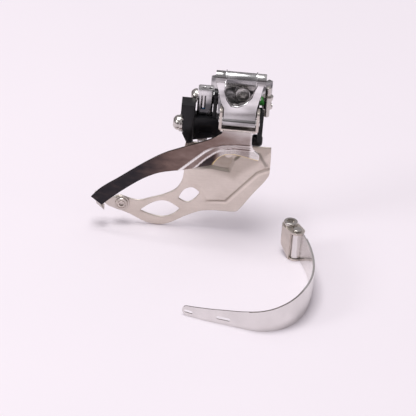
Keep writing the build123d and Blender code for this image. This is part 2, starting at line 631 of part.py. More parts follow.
with BuildPart() as tail_screw:
    with on_out(tail_boss[0], wall_out - 1.6, tail_boss[1]):
        Cylinder(tail_screw_d / 2, 2 * sheet + 2.0, align=along)
    with on_out(tail_boss[0], inner_plate_out + sheet, tail_boss[1]):
        Cylinder(tail_head_d / 2, 1.2, align=along)
    fillet(tail_screw.faces().sort_by(Axis.Y)[0].edges(), 0.5)
finish(tail_screw.part, "tail_screw")

with BuildPart() as tail_nut:
    with BuildSketch(Plane.XZ.offset(wall_out)):
        with Locations(tail_boss):
            RegularPolygon(3.0, 6)
    extrude(amount=-1.6)
    with on_out(tail_boss[0], wall_out - 3, tail_boss[1]):
        Cylinder(tail_screw_d / 2 + seat, 4, align=along, mode=Mode.SUBTRACT)
finish(tail_nut.part, "tail_nut")

# ---- detached strap, standing on its edge beside the cage ----------------------------

# what the tongue's taper leaves away, seen from the side
with BuildPart() as tongue_cut:
    with BuildSketch(Plane.XZ.offset(95)):
        with BuildLine():
            Polyline((60, strap_top), (tongue_top_x, strap_top),
                     *[(x, floor_up + height) for x, height in tongue_taper],
                     (tongue_tip_x, floor_up + strap_tip_width))
            ThreePointArc((tongue_tip_x, floor_up + strap_tip_width),
                          (tongue_tip_x - strap_tip_width / 2, floor_up + strap_tip_width / 2),
                          (tongue_tip_x, floor_up))
            Polyline((tongue_tip_x, floor_up), (tongue_tip_x, floor_up - 1), (-30, floor_up - 1),
                     (-30, strap_top + 1), (60, strap_top + 1), (60, strap_top))
        make_face()
    extrude(amount=60)

strap_inside = Edge.make_spline([Vector(*point) for point in strap_route])


def strip(near, far):
    """Plan of a strip beside the strap's inside line, between two distances outside it."""
    shares = [step / strip_steps for step in range(strip_steps + 1)]
    rows = []
    for distance in (near, far):
        row = []
        for share in shares:
            side = (strap_inside % share).cross(Vector(0, 0, 1))
            row.append(strap_inside @ share + side * distance)
        rows.append(row)
    with BuildSketch(Plane.XY.offset(floor_up)) as plan_view:
        with BuildLine():
            inner_line = Spline(*rows[0])
            outer_line = Spline(*rows[1])
            Line(inner_line @ 0, outer_line @ 0)
            Line(inner_line @ 1, outer_line @ 1)
        make_face()
    return plan_view.sketch


with BuildPart() as strap_band:
    extrude(strip(0, strap_t), amount=strap_width)
    add(tongue_cut.part, mode=Mode.SUBTRACT)
    for x, height, length, width in slots:
        with BuildSketch(Plane.XZ.offset(120)):
            with Locations((x, floor_up + height)):
                SlotOverall(length, width)
        extrude(amount=25, mode=Mode.SUBTRACT)
    # rolled eye, with room for the hook's tabs above and below it
    with Locations((eye_x, -eye_out, floor_up)):
        Cylinder(eye_d / 2, strap_width, align=along)
        for height in (0, strap_width - tab_room):
            with Locations((0, 0, height)):
                Cylinder(eye_d / 2 + 1.4, tab_room, align=along, mode=Mode.SUBTRACT)
        Cylinder(hinge_pin_d / 2 + seat, strap_width, align=along, mode=Mode.SUBTRACT)
finish(strap_band.part, "strap_band")

with BuildPart() as strap_doubler:
    doubler_near = strap_t + running
    extrude(strip(doubler_near, doubler_near + doubler_t), amount=strap_width)
    with Locations((0, -95, floor_up - 1)):
        Box(200, 120, doubler_edge + 1, align=along, mode=Mode.SUBTRACT)
    # both ends stop short of the strap's own
    with Locations((doubler_start - 50, -120, floor_up - 1), (30, -doubler_end + 30, floor_up - 1)):
        Box(100, 60, strap_width + 2, align=along, mode=Mode.SUBTRACT)
    add(tongue_cut.part, mode=Mode.SUBTRACT)
finish(strap_doubler.part, "strap_doubler")

with BuildPart() as strap_hinge_pin:
    with Locations((eye_x, -eye_out, floor_up + 0.1)):
        Cylinder(hinge_pin_d / 2, strap_width + 0.4, align=along)
    with Locations((eye_x, -eye_out, strap_top + 0.1)):
        Cylinder(hinge_pin_d / 2 + 1.0, 0.9, align=along)
    fillet(strap_hinge_pin.faces().sort_by(Axis.Z)[-1].edges(), 0.5)
finish(strap_hinge_pin.part, "strap_hinge_pin")

with BuildPart() as strap_hook:
    run = Vector(eye_x - screw_x, screw_out - eye_out)
    run_turn = degrees(atan2(run.Y, run.X))
    skirt_eye_r = eye_d / 2 + side_gap + hook_t
    # top tab, and a skirt of bent sheet that hangs from it on the side away from the strap
    for height, thickness, wall in ((strap_width - hook_t - 0.1, hook_t, False),
                                    (0.15, strap_width - 0.25, True)):
        with BuildSketch(Plane.XY.offset(floor_up + height)):
            with Locations((screw_x, -screw_out)):
                Circle(strap_head_d / 2 + skirt_room)
            with Locations((eye_x, -eye_out)):
                Circle(skirt_eye_r)
            make_hull()
            if wall:
                offset(amount=-hook_t, mode=Mode.SUBTRACT)
                side = Location((screw_x, -screw_out), run_turn)
                with Locations(side):
                    Rectangle(40, 20, align=(Align.CENTER, Align.MIN), mode=Mode.SUBTRACT)
                    with Locations((run.length, 0)):
                        Rectangle(20, 40, align=(Align.MIN, Align.CENTER), mode=Mode.SUBTRACT)
        extrude(amount=thickness)
    # the skirt rises from the eye's foot to the screw
    cut_plane = Plane(origin=(screw_x, -screw_out, floor_up), x_dir=(run.X, run.Y, 0),
                      z_dir=(run.Y, -run.X, 0))
    with BuildSketch(cut_plane):
        with BuildLine():
            Polyline((-10, -1), (-10, skirt_low), (-strap_head_d / 2, skirt_low),
                     (run.length - 1, 0.5), (run.length - 1, -1), close=True)
        make_face()
    extrude(amount=20, both=True, mode=Mode.SUBTRACT)
    with Locations((eye_x, -eye_out, floor_up + 0.15)):
        Cylinder(skirt_eye_r - hook_t / 2, hook_t, align=along)
    with Locations((screw_x, -screw_out, floor_up)):
        Cylinder(strap_screw_d / 2 + running, 30, align=along, mode=Mode.SUBTRACT)
    with Locations((eye_x, -eye_out, floor_up)):
        Cylinder(hinge_pin_d / 2 + running, 30, align=along, mode=Mode.SUBTRACT)
finish(strap_hook.part, "strap_hook")

with BuildPart() as hook_barrel:
    with Locations((screw_x, -screw_out, strap_top - hook_t - 0.1 - barrel_h)):
        Cylinder(barrel_d / 2, barrel_h, align=along)
        Cylinder(strap_screw_d / 2 + running, 30, align=along, mode=Mode.SUBTRACT)
finish(hook_barrel.part, "hook_barrel")

with BuildPart() as strap_screw:
    with Locations((screw_x, -screw_out, strap_top - strap_screw_length)):
        Cylinder(strap_screw_d / 2, strap_screw_length + 0.5, align=along)
    with Locations((screw_x, -screw_out, strap_top)):
        Cylinder(strap_head_d / 2, strap_head_h, align=along)
    fillet(strap_screw.faces().sort_by(Axis.Z)[-1].edges(), 0.5)
    with BuildSketch(Plane.XY.offset(strap_top + strap_head_h)):
        with Locations((screw_x, -screw_out)):
            RegularPolygon(2.4, 6)
    extrude(amount=-1.7, mode=Mode.SUBTRACT)
finish(strap_screw.part, "strap_screw")
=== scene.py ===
"""A bicycle's front derailleur with its clamp strap lying beside it, dressed for a studio picture."""

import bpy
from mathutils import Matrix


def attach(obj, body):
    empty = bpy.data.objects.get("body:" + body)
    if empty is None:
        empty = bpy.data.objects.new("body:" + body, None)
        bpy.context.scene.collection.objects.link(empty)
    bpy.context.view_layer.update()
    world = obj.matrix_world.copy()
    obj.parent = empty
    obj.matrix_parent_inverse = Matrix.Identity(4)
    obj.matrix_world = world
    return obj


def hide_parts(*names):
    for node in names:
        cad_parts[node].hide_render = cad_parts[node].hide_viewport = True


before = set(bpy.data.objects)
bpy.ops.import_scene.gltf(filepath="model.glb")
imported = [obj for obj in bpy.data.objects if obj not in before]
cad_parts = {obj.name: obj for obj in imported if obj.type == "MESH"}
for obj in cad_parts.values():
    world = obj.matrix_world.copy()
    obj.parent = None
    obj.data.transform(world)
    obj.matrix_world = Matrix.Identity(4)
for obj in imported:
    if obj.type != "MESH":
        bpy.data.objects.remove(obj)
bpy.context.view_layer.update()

import logging
import math
from dataclasses import dataclass, field
from enum import Enum
from typing import Any, Callable, Sequence

import bmesh
import bpy
from mathutils import Euler, Vector
from mathutils.geometry import delaunay_2d_cdt

LOG = logging.getLogger("front_derailleur")
MM = 0.001
ROW_PITCH = 0.866  # rows of a triangular grid lie this far apart, as a share of its spacing
Plan = Sequence[tuple[float, float]]


def at(x: float, out: float, up: float) -> Vector:
    """Point in metres from millimetres forward, outboard and up."""
    return Vector((x, -out, up)) * MM


# ---- shader building -----------------------------------------------------------------


class Sock:
    """One output socket, with arithmetic that adds Math nodes."""

    def __init__(self, tree: "Tree", socket: bpy.types.NodeSocket) -> None:
        """Wrap a socket of a node in the given tree."""
        self.tree = tree
        self.socket = socket

    def _math(self, operation: str, *values: Any) -> "Sock":
        """Add one Math node on the given values."""
        return self.tree.node("ShaderNodeMath", {"operation": operation}, dict(enumerate(values)))

    def __add__(self, other: Any) -> "Sock":
        """Sum."""
        return self._math("ADD", self, other)

    __radd__ = __add__

    def __sub__(self, other: Any) -> "Sock":
        """Difference."""
        return self._math("SUBTRACT", self, other)

    def __rsub__(self, other: Any) -> "Sock":
        """Difference, the other way round."""
        return self._math("SUBTRACT", other, self)

    def __mul__(self, other: Any) -> "Sock":
        """Product."""
        return self._math("MULTIPLY", self, other)

    __rmul__ = __mul__

    def __truediv__(self, other: Any) -> "Sock":
        """Quotient."""
        return self._math("DIVIDE", self, other)

    def clamp(self) -> "Sock":
        """Keep the value between 0 and 1."""
        return self._math("MINIMUM", self._math("MAXIMUM", self, 0.0), 1.0)

    def ramp(self, low: float, high: float) -> "Sock":
        """Smooth step from 0 at low to 1 at high."""
        return self.tree.node("ShaderNodeMapRange", {"interpolation_type": "SMOOTHSTEP"},
                              {"Value": self, "From Min": low, "From Max": high})


class Tree:
    """A material's node tree and the ways to add to it."""

    def __init__(self, name: str) -> None:
        """Make an empty material with a Principled shader."""
        self.material = bpy.data.materials.new(name)
        self.material.use_nodes = True
        self.nodes = self.material.node_tree.nodes
        self.links = self.material.node_tree.links
        self.shader = self.nodes["Principled BSDF"]

    def _feed(self, socket: bpy.types.NodeSocket, value: Any) -> None:
        """Link or set one input."""
        if isinstance(value, Sock):
            self.links.new(value.socket, socket)
        else:
            socket.default_value = value

    def node(self, kind: str, settings: dict[str, Any], inputs: dict[Any, Any],
             output: int | str = 0) -> Sock:
        """Add a node.

        Args:
            kind: The node's type name.
            settings: Attributes set before the inputs.
            inputs: Socket name or index to a value or a Sock.
            output: Which output to return.

        Returns:
            The chosen output, wrapped.
        """
        node = self.nodes.new(kind)
        for key, value in settings.items():
            setattr(node, key, value)
        for key, value in inputs.items():
            self._feed(node.inputs[key], value)
        return Sock(self, node.outputs[output])

    def place(self) -> Sock:
        """Object coordinates."""
        return self.node("ShaderNodeTexCoord", {}, {}, "Object")

    def axis(self, name: str) -> Sock:
        """One object coordinate, in metres."""
        return self.node("ShaderNodeSeparateXYZ", {}, {0: self.place()}, name)

    def noise(self, scale: float, detail: float = 3.0, rough: float = 0.5,
              stretch: tuple[float, float, float] = (1, 1, 1)) -> Sock:
        """Noise value of the given scale per metre, stretched along the axes."""
        where = self.node("ShaderNodeMapping", {}, {"Vector": self.place(), "Scale": stretch})
        return self.node("ShaderNodeTexNoise", {}, {"Vector": where, "Scale": scale,
                                                    "Detail": detail, "Roughness": rough})

    def blend(self, factor: Sock, low: Sequence[float], high: Any) -> Sock:
        """Mix two colours by a factor."""
        mix = self.nodes.new("ShaderNodeMix")
        mix.data_type = "RGBA"
        self._feed(mix.inputs["Factor"], factor)
        self._feed(mix.inputs["A"], low if isinstance(low, Sock) else (*low, 1.0))
        self._feed(mix.inputs["B"], high if isinstance(high, Sock) else (*high, 1.0))
        return Sock(self, mix.outputs["Result"])

    def set(self, **values: Any) -> None:
        """Set the shader's inputs; an underscore stands for a space."""
        for key, value in values.items():
            self._feed(self.shader.inputs[key.replace("_", " ")], value)

    def bump(self, height: Sock, strength: float, distance: float) -> None:
        """Feed a Bump node from a height to the shader's normal."""
        self.set(Normal=self.node("ShaderNodeBump", {}, {"Strength": strength, "Distance": distance,
                                                         "Height": height}, "Normal"))


class Tint(Enum):
    """Colours of the finishes, in linear values."""

    NICKEL = (0.72, 0.655, 0.60)
    # Painted dark reflection for the outer plate's mirror polish.
    PAINTED_DARK_REFLECTION = (0.030, 0.028, 0.032)
    NICKEL_LIGHT = (0.86, 0.785, 0.715)
    NICKEL_DEEP = (0.36, 0.305, 0.255)
    # Painted warm reflection for the outer plate's mirror polish.
    PAINTED_WARM_REFLECTION = (0.20, 0.135, 0.115)
    BRIGHT_CHROME = (0.92, 0.90, 0.88)
    BOLT = (0.60, 0.57, 0.54)
    PIN = (0.66, 0.65, 0.65)
    BLACK = (0.004, 0.004, 0.005)
    STRIP = (0.80, 0.775, 0.76)
    EDGE_GOLD = (0.75, 0.60, 0.30)
    BLUE_LOCK = (0.01, 0.27, 0.62)
    GREEN_LOCK = (0.03, 0.25, 0.03)


@dataclass(frozen=True)
class Metal:
    """A metal finish: its colour, how rough it is, and its grain."""

    name: str
    tint: Tint
    rough: float = 0.2
    rough_spread: float = 0.08
    grain: float = 900.0
    grain_depth: float = 0.02
    stretch: tuple[float, float, float] = (1, 1, 1)
    shade: float = 0.12

    def build(self) -> Tree:
        """Make the finish's node tree."""
        tree = Tree(self.name)
        cloud = tree.noise(120, 2.0)
        grain = tree.noise(self.grain, 4.0, 0.65, self.stretch)
        dark = tuple(channel * (1 - self.shade) for channel in self.tint.value)
        tree.set(Metallic=1.0, Base_Color=tree.blend((cloud * 0.6 + grain * 0.4).ramp(0.3, 0.7),
                                                     dark, self.tint.value),
                 Roughness=(cloud - 0.5) * self.rough_spread + (grain - 0.5) * self.rough_spread
                 + self.rough)
        tree.bump(grain, 0.25, self.grain_depth * MM)
        return tree


@dataclass(frozen=True)
class PolishedAlloy:
    """Tumbled and polished alloy: soft bright and grey zones at random, with hairline scratches, and
    painted shade below about 8 mm up and in a band about 20 to 25 mm up.
    """

    name: str = "polished_alloy"
    light: tuple[float, float, float] = (0.86, 0.85, 0.85)
    deep: tuple[float, float, float] = (0.27, 0.262, 0.262)
    zone: float = 95.0
    amount: float = 0.85
    rough: float = 0.16

    def build(self) -> Tree:
        """Make the node tree."""
        tree = Tree(self.name)
        zones = tree.noise(self.zone, 1.5, 0.4, (0.45, 1, 1.5))
        fine = tree.noise(1400, 4.0, 0.6, (0.3, 1, 1))
        up = tree.axis("Z")
        # painted shade: darker below about 8 mm up
        low = 1.0 - (up + 0.0012).ramp(0.0, 0.009)
        # painted shade in a band about 20 to 25 mm up
        high = (up - 0.0195).ramp(0.0, 0.003) * (1.0 - (up - 0.0235).ramp(0.0, 0.0015))
        level = (zones.ramp(0.36, 0.66) * self.amount + low * 0.35 + high * 0.55
                 + (fine - 0.5) * 0.1).clamp()
        tree.set(Metallic=1.0, Base_Color=tree.blend(level, self.light, self.deep),
                 Roughness=fine * 0.10 + self.rough - 0.05)
        tree.bump(fine, 0.12, 0.01 * MM)
        return tree


@dataclass(frozen=True)
class PressedNickel:
    """Satin nickel sheet with painted shade from its mark, a painted highlight beside the step, and random
    cloud, grain and scratches.
    """

    name: str = "pressed_nickel_sheet"

    def build(self) -> Tree:
        """Make the node tree."""
        tree = Tree(self.name)
        painted_shade_and_highlight = tree.node("ShaderNodeAttribute", {"attribute_name": "painted_shade_and_highlight"}, {}, "Fac")
        cloud = tree.noise(90, 3.0, 0.55)
        grain = tree.noise(2600, 3.0, 0.6)
        scratch = tree.noise(520, 3.0, 0.6, (0.25, 1, 1.6))
        # painted shade and highlight from the mark, plus random cloud, grain and scratches
        level = (painted_shade_and_highlight + (cloud - 0.5) * 0.35 + (grain - 0.5) * 0.25 + (scratch - 0.5) * 0.22).clamp()
        tree.set(Metallic=1.0,
                 Base_Color=tree.blend(level, Tint.NICKEL_LIGHT.value, Tint.NICKEL_DEEP.value),
                 Roughness=grain * 0.12 + cloud * 0.08 + 0.30)
        tree.bump(grain + scratch * 0.5, 0.35, 0.05 * MM)
        return tree


@dataclass(frozen=True)
class BandedMetal:
    """A metal with a coloured thread-lock patch between two limits along an axis."""

    base: Metal
    patch: Tint
    axis: str
    low: float
    high: float

    def build(self) -> Tree:
        """Make the metal and lay the patch over it."""
        tree = self.base.build()
        along = tree.axis(self.axis) + (tree.noise(1500) - 0.5) * 0.0008
        inside = along.ramp(self.low * MM, self.low * MM + 0.0002) * (
            1.0 - along.ramp(self.high * MM - 0.0002, self.high * MM))
        colour = Sock(tree, tree.shader.inputs["Base Color"].links[0].from_socket)
        rough = Sock(tree, tree.shader.inputs["Roughness"].links[0].from_socket)
        tree.set(Base_Color=tree.blend(inside, colour, self.patch.value), Metallic=1.0 - inside,
                 Roughness=rough + inside * 0.25)
        return tree


@dataclass(frozen=True)
class BlackAnodise:
    """Black anodised alloy with a fine blasted grain."""

    name: str = "black_anodise"

    def build(self) -> Tree:
        """Make the node tree."""
        tree = Tree(self.name)
        cloud = tree.noise(180, 3.0)
        grain = tree.noise(2600, 2.0)
        tree.set(Metallic=0.0, Base_Color=tree.blend(cloud.ramp(0.3, 0.7), Tint.BLACK.value,
                                                     (0.009, 0.009, 0.011)),
                 Roughness=cloud * 0.12 + 0.28, Specular_IOR_Level=0.30)
        tree.bump(grain, 0.15, 0.02 * MM)
        return tree


@dataclass(frozen=True)
class PaintedReflectionChrome:
    """Mirror polished sheet with painted reflections: a painted dark reflection over most of it, painted
    warm reflection and painted highlights on the ribs.
    """

    name: str = "dark_chrome_sheet"

    def build(self) -> Tree:
        """Make the node tree."""
        tree = Tree(self.name)
        painted_reflection_and_shade = tree.node("ShaderNodeAttribute", {"attribute_name": "painted_reflection_and_shade"}, {}, "Fac")
        gold = tree.node("ShaderNodeAttribute", {"attribute_name": "gold"}, {}, "Fac")
        sheen = tree.noise(160, 2.0, 0.5, (1, 1, 2.2))
        fine = tree.noise(900, 4.0, 0.6)
        # Painted reflection and shade from the sheet's mark: near black, then warm brown, then bright
        # chrome as painted highlights.
        level = (painted_reflection_and_shade + (sheen - 0.5) * 0.16).clamp()
        body = tree.blend(level.ramp(0.0, 0.3), Tint.PAINTED_DARK_REFLECTION.value, Tint.PAINTED_WARM_REFLECTION.value)
        colour = tree.blend(level.ramp(0.16, 0.95), body, Tint.BRIGHT_CHROME.value)
        tree.set(Metallic=1.0, Base_Color=tree.blend(gold, colour, Tint.EDGE_GOLD.value),
                 Roughness=fine * 0.08 + 0.10 + gold * 0.15)
        tree.bump(fine, 0.08, 0.01 * MM)
        return tree


class Finishes:
    """Builds each material once and hands it out."""

    def __init__(self) -> None:
        """Build every finish."""
        bolt = Metal("plated_screw", Tint.BOLT, 0.24, 0.10, 1400, 0.015)
        pin = Metal("ground_pin", Tint.PIN, 0.20, 0.08, 1600, 0.01, (0.1, 1, 1))
        self.alloy = PolishedAlloy().build().material
        self.cast = PolishedAlloy("satin_alloy", (0.80, 0.79, 0.79), (0.10, 0.10, 0.105), 120.0, 0.8,
                                  0.28).build().material
        self.socket = Metal("socket_steel", Tint.BRIGHT_CHROME, 0.34, 0.10, 1400, 0.015).build().material
        self.nickel = Metal("satin_nickel_sheet", Tint.NICKEL, 0.36, 0.14, 2600, 0.06,
                            shade=0.2).build().material
        self.pressed = PressedNickel().build().material
        self.strip = Metal("bright_strip", Tint.STRIP, 0.22, 0.10, 600, 0.01, (1, 1, 14)).build().material
        self.bolt = bolt.build().material
        self.pin = pin.build().material
        self.clamp_bolt = BandedMetal(bolt, Tint.GREEN_LOCK, "X", 9.6, 13.4).build().material
        self.limit = BandedMetal(pin, Tint.BLUE_LOCK, "Z", -5.6, -3.4).build().material
        self.black = BlackAnodise().build().material
        self.painted_reflection_chrome = PaintedReflectionChrome().build().material


# ---- mesh helpers ----------------------------------------------------------------------


def new_piece(name: str, bm: bmesh.types.BMesh, material: bpy.types.Material,
              sharp: float = 35.0) -> bpy.types.Object:
    """Turn a bmesh into a smooth-shaded object with sharp edges past an angle.

    Args:
        name: The piece's name.
        bm: The mesh, in metres in the shared frame. It is freed.
        material: Its finish.
        sharp: Angle in degrees past which an edge is sharp.

    Returns:
        The new object, linked to the scene.
    """
    mesh = bpy.data.meshes.new(name)
    bm.to_mesh(mesh)
    bm.free()
    mesh.materials.clear()
    mesh.materials.append(material)
    for polygon in mesh.polygons:
        polygon.use_smooth = True
    mesh.set_sharp_from_angle(angle=math.radians(sharp))
    piece = bpy.data.objects.new(name, mesh)
    bpy.context.scene.collection.objects.link(piece)
    return piece


def settle(piece: bpy.types.Object) -> bpy.types.Object:
    """Apply a piece's modifiers to its mesh and remove them."""
    graph = bpy.context.evaluated_depsgraph_get()
    graph.update()
    mesh = bpy.data.meshes.new_from_object(piece.evaluated_get(graph))
    piece.modifiers.clear()
    old = piece.data
    piece.data = mesh
    if isinstance(old, bpy.types.Mesh):
        bpy.data.meshes.remove(old)
    return piece


class Corner(Enum):
    """How an outline passes through a point."""

    SHARP = "sharp"
    SMOOTH = "smooth"


@dataclass
class Outline:
    """A closed outline in the side view, through points that are corners or smooth."""

    points: list[tuple[float, float, Corner]]
    step: float = 0.7

    def trace(self) -> list[Vector]:
        """Return evenly spaced points round the outline, in millimetres."""
        count = len(self.points)
        spots = [Vector((x, z)) for x, z, _ in self.points]
        kinds = [kind for _, _, kind in self.points]
        line: list[Vector] = []
        for index in range(count):
            start, end = spots[index], spots[(index + 1) % count]
            before = spots[index - 1] if kinds[index] is Corner.SMOOTH else None
            after = spots[(index + 2) % count] if kinds[(index + 1) % count] is Corner.SMOOTH else None
            reach = (end - start).length
            leave = (end - before).normalized() * reach if before else None
            arrive = (after - start).normalized() * reach if after else None
            leave = leave or ((end - start) * 1.5 - arrive * 0.5 if arrive else end - start)
            arrive = arrive or (end - start) * 1.5 - leave * 0.5
            parts = max(1, round(reach / self.step))
            for part in range(parts):
                t = part / parts
                line.append(start * (2 * t**3 - 3 * t**2 + 1) + leave * (t**3 - 2 * t**2 + t)
                            + end * (3 * t**2 - 2 * t**3) + arrive * (t**3 - t**2))
        return line


def turns_left(line: Sequence[Vector]) -> bool:
    """Whether a closed line runs counter-clockwise."""
    return sum(a.x * b.y - b.x * a.y for a, b in zip(line, list(line[1:]) + [line[0]])) > 0


def inside(point: Vector, line: Sequence[Vector]) -> bool:
    """Whether a point lies inside a closed line."""
    hit = False
    for a, b in zip(line, list(line[1:]) + [line[0]]):
        if (a.y > point.y) != (b.y > point.y):
            if point.x < (b.x - a.x) * (point.y - a.y) / (b.y - a.y) + a.x:
                hit = not hit
    return hit


def gap_to(point: Vector, line: Sequence[Vector], closed: bool = True) -> float:
    """Distance from a point to a line of points."""
    ends = list(line[1:]) + ([line[0]] if closed else [])
    nearest = 1e9
    for a, b in zip(line, ends):
        side = b - a
        share = max(0.0, min(1.0, (point - a).dot(side) / max(side.length_squared, 1e-9)))
        nearest = min(nearest, (point - a - side * share).length)
    return nearest


def beside(point: Vector, line: Sequence[Vector]) -> float:
    """Signed distance from a point to an open line, positive on the line's left."""
    nearest, sign = 1e9, 1.0
    for a, b in zip(line, line[1:]):
        side = b - a
        share = max(0.0, min(1.0, (point - a).dot(side) / side.length_squared))
        gap = (point - a - side * share).length
        if gap < nearest - 1e-6:
            nearest = gap
            sign = 1.0 if side.x * (point.y - a.y) - side.y * (point.x - a.x) >= 0 else -1.0
    return nearest * sign


def smooth(value: float, low: float, high: float) -> float:
    """Smooth step from 0 at low to 1 at high."""
    t = max(0.0, min(1.0, (value - low) / (high - low)))
    return t * t * (3 - 2 * t)


@dataclass
class PressedSheet:
    """A sheet cut to an outline and pressed into relief, in the side view's plane."""

    name: str
    outline: Outline
    holes: list[Outline]
    face: Callable[[float, float], float]
    marks: dict[str, Callable[[float, float], float]] = field(default_factory=dict)
    thickness: float = 1.2
    edge: float = 0.35
    grid: float = 0.9

    def _ring(self, line: list[Vector], inset: float) -> list[Vector]:
        """Move a closed line to its left by an inset."""
        moved = []
        for index, point in enumerate(line):
            way = (line[(index + 1) % len(line)] - line[index - 1]).normalized()
            moved.append(point + Vector((-way.y, way.x)) * inset)
        return moved

    def build(self, material: bpy.types.Material) -> bpy.types.Object:
        """Make the sheet: a fine triangulation, a face, a back and rounded edges."""
        rims = []
        for index, shape in enumerate([self.outline, *self.holes]):
            line = shape.trace()
            if turns_left(line) != (index == 0):
                line.reverse()
            rims.append(line)
        spots: list[Vector] = []
        edges: list[tuple[int, int]] = []
        for line in rims:
            base = len(spots)
            spots += line
            edges += [(base + i, base + (i + 1) % len(line)) for i in range(len(line))]

        def is_sheet(point: Vector, room: float) -> bool:
            """Whether a point is on the sheet, at least room from each rim."""
            if not inside(point, rims[0]) or any(inside(point, hole) for hole in rims[1:]):
                return False
            return min(gap_to(point, line) for line in rims) >= room

        for line in rims:
            for inset in (0.3 * self.edge, self.edge, 2.2 * self.edge):
                spots += [p for p in self._ring(line, inset) if is_sheet(p, inset * 0.8)]
        xs, ys = [p.x for p in rims[0]], [p.y for p in rims[0]]
        row = 0
        y = min(ys)
        while y < max(ys):
            x = min(xs) + (self.grid / 2 if row % 2 else 0)
            while x < max(xs):
                point = Vector((x, y))
                if is_sheet(point, 3.0 * self.edge):
                    spots.append(point)
                x += self.grid
            y += self.grid * ROW_PITCH
            row += 1
        verts, _, faces, *_ = delaunay_2d_cdt(spots, edges, [], 1, 1e-5)
        bm = bmesh.new()
        front, back = [], []
        for spot in verts:
            gap = min(gap_to(spot, line) for line in rims)
            drop = 0.0
            if gap < self.edge:
                drop = self.edge - math.sqrt(max(0.0, self.edge**2 - (self.edge - gap) ** 2))
            out = self.face(spot.x, spot.y)
            front.append(bm.verts.new(at(spot.x, out - drop, spot.y)))
            back.append(bm.verts.new(at(spot.x, out - self.thickness + drop, spot.y)))
        kept = []
        for face in faces:
            middle = sum((verts[i] for i in face), Vector((0, 0))) / len(face)
            if not any(inside(middle, hole) for hole in rims[1:]):
                kept.append(face)
        borders: dict[tuple[int, int], int] = {}
        for face in kept:
            bm.faces.new([front[i] for i in face])
            bm.faces.new([back[i] for i in reversed(face)])
            for a, b in zip(face, list(face[1:]) + [face[0]]):
                borders[(a, b)] = 1
        for a, b in list(borders):
            if (b, a) not in borders:
                bm.faces.new([front[b], front[a], back[a], back[b]])
        loose = [vert for vert in bm.verts if not vert.link_faces]
        bmesh.ops.delete(bm, geom=loose, context="VERTS")
        bmesh.ops.recalc_face_normals(bm, faces=bm.faces)
        piece = new_piece(self.name, bm, material, 50)
        for mark, measure in self.marks.items():
            layer = piece.data.attributes.new(mark, "FLOAT", "POINT")
            values = [measure(v.co.x / MM, v.co.z / MM) for v in piece.data.vertices]
            layer.data.foreach_set("value", values)
        return piece


def prism(name: str, plan: Plan, near: float, far: float, material: bpy.types.Material,
          edge: float = 0.25) -> bpy.types.Object:
    """Make a plate of a side-view outline between two distances outboard, its edges broken."""
    bm = bmesh.new()
    front = [bm.verts.new(at(x, far, up)) for x, up in plan]
    back = [bm.verts.new(at(x, near, up)) for x, up in plan]
    bm.faces.new(front)
    bm.faces.new(list(reversed(back)))
    for index in range(len(plan)):
        after = (index + 1) % len(plan)
        bm.faces.new((front[after], front[index], back[index], back[after]))
    bmesh.ops.recalc_face_normals(bm, faces=bm.faces)
    piece = new_piece(name, bm, material)
    bevel = piece.modifiers.new("broken_edges", "BEVEL")
    bevel.width = edge * MM
    bevel.segments = 2
    bevel.limit_method = "ANGLE"
    settle(piece)
    return piece


class DressedCast:
    """A CAD piece's own shape with its edges broken, as a forged or machined piece has them."""

    def __init__(self, node: str, material: bpy.types.Material, body: str,
                 edge: float = 0.25, angle: float = 28.0) -> None:
        """Copy the node's mesh, merge it, and round its edges."""
        bm = bmesh.new()
        bm.from_mesh(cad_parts[node].data)
        bmesh.ops.remove_doubles(bm, verts=bm.verts, dist=1e-6)
        bmesh.ops.dissolve_limit(bm, angle_limit=math.radians(0.5), verts=bm.verts, edges=bm.edges)
        piece = new_piece(f"{node}_dressed", bm, material, angle)
        bevel = piece.modifiers.new("broken_edges", "BEVEL")
        bevel.width = edge * MM
        bevel.segments = 2
        bevel.limit_method = "ANGLE"
        bevel.angle_limit = math.radians(angle)
        bevel.use_clamp_overlap = True
        bevel.miter_outer = "MITER_ARC"
        settle(piece)
        piece.data.set_sharp_from_angle(angle=math.radians(angle + 15))
        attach(piece, body)
        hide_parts(node)
        self.piece = piece
        LOG.info("dressed %s: %d faces", node, len(piece.data.polygons))


# ---- the cage ---------------------------------------------------------------------------

S, C = Corner.SMOOTH, Corner.SHARP


